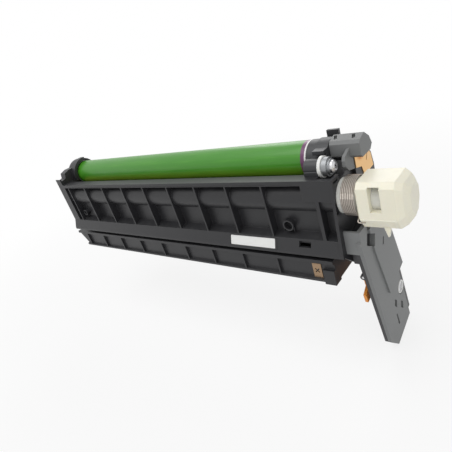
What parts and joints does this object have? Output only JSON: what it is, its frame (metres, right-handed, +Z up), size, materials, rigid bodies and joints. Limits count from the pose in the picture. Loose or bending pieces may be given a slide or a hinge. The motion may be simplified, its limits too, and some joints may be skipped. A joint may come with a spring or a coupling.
{
  "type": "printer drum unit",
  "caption": "Long black printer drum unit with a green drum, cleaner with waste auger, charge roller, sprung toner shutter and a grey front panel.",
  "frame": {"origin": "centre of the locating ring's end face, on the drum axis at the rear end", "axes": "+X along the drum axis from the rear end to the front panel, +Z up, -Y towards the ribbed cleaner side"},
  "size_m": [0.462, 0.095, 0.2155],
  "materials": {
    "black_plastic": "moulded, fine texture",
    "dark_plastic": "moulded, fine texture",
    "grey_plastic": "moulded, fine texture",
    "pale_plastic": "moulded",
    "white_plastic": "moulded, smooth",
    "cream_plastic": "moulded, smooth, slightly translucent",
    "orange_plastic": "moulded, smooth",
    "drum_coating": "clear coated photoconductor, satin gloss",
    "screw_steel": "plated",
    "plated_steel": "zinc plated sheet",
    "zinc_spacer": "dull plated",
    "spring_steel": "drawn wire",
    "copper_leaf": "sprung sheet",
    "bronze_strip": "dull sheet",
    "blade_rubber": "cast urethane",
    "roller_rubber": "ground",
    "grey_foam": "open cell",
    "clear_film": "thin film",
    "circuit_board": "lacquered"
  },
  "bodies": {
    "frame": {"housing": "black_plastic", "bottom_cover": "black_plastic", "rear_cap": "black_plastic", "rear_cap_screws": "screw_steel", "cover_screws": "screw_steel", "drum_pin": "screw_steel", "front_bearing_block": "dark_plastic", "cap_washer": "white_plastic", "cap_spacer": "zinc_spacer", "cap_screw": "screw_steel", "front_cap": "grey_plastic", "drum_contact_leaf": "copper_leaf", "waste_tube": "pale_plastic", "cleaning_blade": "blade_rubber", "blade_bracket": "plated_steel", "recovery_film": "clear_film", "charge_bearing_rear": "pale_plastic", "charge_bearing_front": "pale_plastic", "charge_spring_rear": "spring_steel", "charge_spring_front": "spring_steel", "charge_contact": "bronze_strip", "panel_back_plate": "black_plastic", "front_panel": "grey_plastic", "panel_screws": "screw_steel", "lock_screw": "white_plastic", "latch_pin": "screw_steel", "memory_chip": "circuit_board"},
    "idler": {"idler_gear": "white_plastic"},
    "drum": {"drum_tube": "drum_coating", "drum_drive_flange": "white_plastic", "drum_front_flange": "white_plastic"},
    "auger": {"waste_auger": "dark_plastic", "auger_gear": "white_plastic"},
    "charge_roller": {"charge_roller_shaft": "screw_steel", "charge_roller_rubber": "roller_rubber"},
    "foam_roller": {"foam_roller_shaft": "screw_steel", "foam_roller_foam": "grey_foam"},
    "shutter": {"shutter": "cream_plastic", "shutter_spring": "spring_steel"},
    "latch": {"latch_lever": "orange_plastic", "latch_spring": "spring_steel"}
  },
  "joints": [
    {"name": "drum_spin", "type": "hinge", "parent": "frame", "child": "drum", "pos_m": [0, 0, 0], "axis": [1, 0, 0], "continuous": true},
    {"name": "auger_spin", "type": "hinge", "parent": "frame", "child": "auger", "pos_m": [0, -0.02472, -0.02187], "axis": [1, 0, 0], "continuous": true},
    {"name": "idler_spin", "type": "hinge", "parent": "frame", "child": "idler", "pos_m": [0, -0.00391, -0.02469], "axis": [1, 0, 0], "continuous": true},
    {"name": "charge_spin", "type": "hinge", "parent": "frame", "child": "charge_roller", "pos_m": [0, 0.01065, -0.01845], "axis": [1, 0, 0], "continuous": true},
    {"name": "foam_spin", "type": "hinge", "parent": "frame", "child": "foam_roller", "pos_m": [0, 0.0158, -0.02737], "axis": [1, 0, 0], "continuous": true},
    {"name": "shutter_turn", "type": "hinge", "parent": "frame", "child": "shutter", "pos_m": [0.426, -0.02472, -0.02187], "axis": [1, 0, 0], "range_deg": [0, 90], "stiffness_Nm_per_rad": 0.02, "springref_deg": -28.65},
    {"name": "latch_squeeze", "type": "hinge", "parent": "frame", "child": "latch", "pos_m": [0.414, -0.0084, -0.0961], "axis": [0, -0.9763, -0.2164], "range_deg": [0, 8], "stiffness_Nm_per_rad": 0.05, "springref_deg": -11.46}
  ],
  "couplings": [
    {"joint": "idler_spin", "follows": "drum_spin", "ratio": -1.5},
    {"joint": "auger_spin", "follows": "drum_spin", "ratio": 1.3636},
    {"joint": "charge_spin", "follows": "drum_spin", "ratio": -2.5},
    {"joint": "foam_spin", "follows": "drum_spin", "ratio": 3.75}
  ]
}
